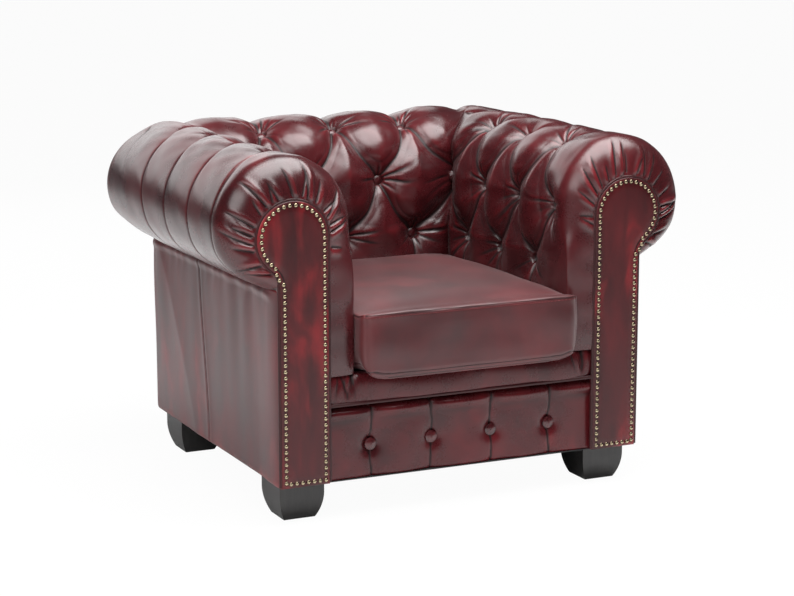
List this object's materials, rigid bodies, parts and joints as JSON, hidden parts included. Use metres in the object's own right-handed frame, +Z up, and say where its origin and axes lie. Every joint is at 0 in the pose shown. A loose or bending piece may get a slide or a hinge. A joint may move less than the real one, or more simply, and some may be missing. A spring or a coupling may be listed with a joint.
{
  "type": "tufted leather armchair",
  "caption": "Rolled-arm leather armchair with diamond-tufted arms and back, nailed scroll facings, a loose seat cushion and block feet.",
  "frame": {"origin": "on the floor, under the middle of the overall box", "axes": "+Z up, the front faces -Y, +X to the right as seen from the front"},
  "size_m": [1.08, 0.92, 0.765],
  "materials": {
    "tufted_leather": "aged oxblood leather, satin",
    "panel_leather": "aged oxblood leather, satin",
    "cushion_leather": "aged oxblood leather, satin",
    "button_leather": "aged oxblood leather over a button blank",
    "nail_brass": "antique brass, domed",
    "foot_wood": "black satin lacquer",
    "frame_wood": "bare sawn hardwood",
    "foam": "open-cell upholstery foam",
    "steel": "plain steel",
    "felt": "needled felt",
    "dust_cloth": "black non-woven cloth",
    "zip_tape": "woven zip tape"
  },
  "bodies": {
    "chair": {"apron_buttons": "button_leather", "arm_batten_left": "frame_wood", "arm_batten_right": "frame_wood", "arm_buttons_left": "button_leather", "arm_buttons_right": "button_leather", "arm_cover_left": "tufted_leather", "arm_cover_right": "tufted_leather", "arm_facing_left": "panel_leather", "arm_facing_right": "panel_leather", "arm_inner_board_left": "frame_wood", "arm_inner_board_right": "frame_wood", "arm_roll_core_left": "foam", "arm_roll_core_right": "foam", "arm_tack_rail_left": "frame_wood", "arm_tack_rail_right": "frame_wood", "arm_top_rail_left": "frame_wood", "arm_top_rail_right": "frame_wood", "back_batten": "frame_wood", "back_buttons": "button_leather", "back_cover": "tufted_leather", "back_inner_board": "frame_wood", "back_post_left": "frame_wood", "back_post_right": "frame_wood", "back_roll_core": "foam", "back_tack_rail": "frame_wood", "back_top_rail": "frame_wood", "corner_blocks": "frame_wood", "deck_felt": "felt", "deck_pad": "foam", "dust_cover": "dust_cloth", "facing_nails_left": "nail_brass", "facing_nails_right": "nail_brass", "foot_front_left": "foot_wood", "foot_front_right": "foot_wood", "foot_rear_left": "foot_wood", "foot_rear_right": "foot_wood", "foot_studs": "steel", "frame_screws": "steel", "front_apron": "panel_leather", "front_rail": "frame_wood", "outside_arm_left": "panel_leather", "outside_arm_right": "panel_leather", "outside_back": "panel_leather", "rear_rail": "frame_wood", "scroll_board_left": "frame_wood", "scroll_board_right": "frame_wood", "seat_lip": "panel_leather", "seat_springs": "steel", "side_rail_left": "frame_wood", "side_rail_right": "frame_wood", "spring_clips": "steel"},
    "cushion": {"cushion_cover": "cushion_leather", "cushion_core": "foam", "cushion_zip": "zip_tape"}
  },
  "joints": [
    {"name": "cushion_lift", "type": "slide", "parent": "chair", "child": "cushion", "axis": [0, 0, 1], "range_m": [0, 0.5]}
  ]
}
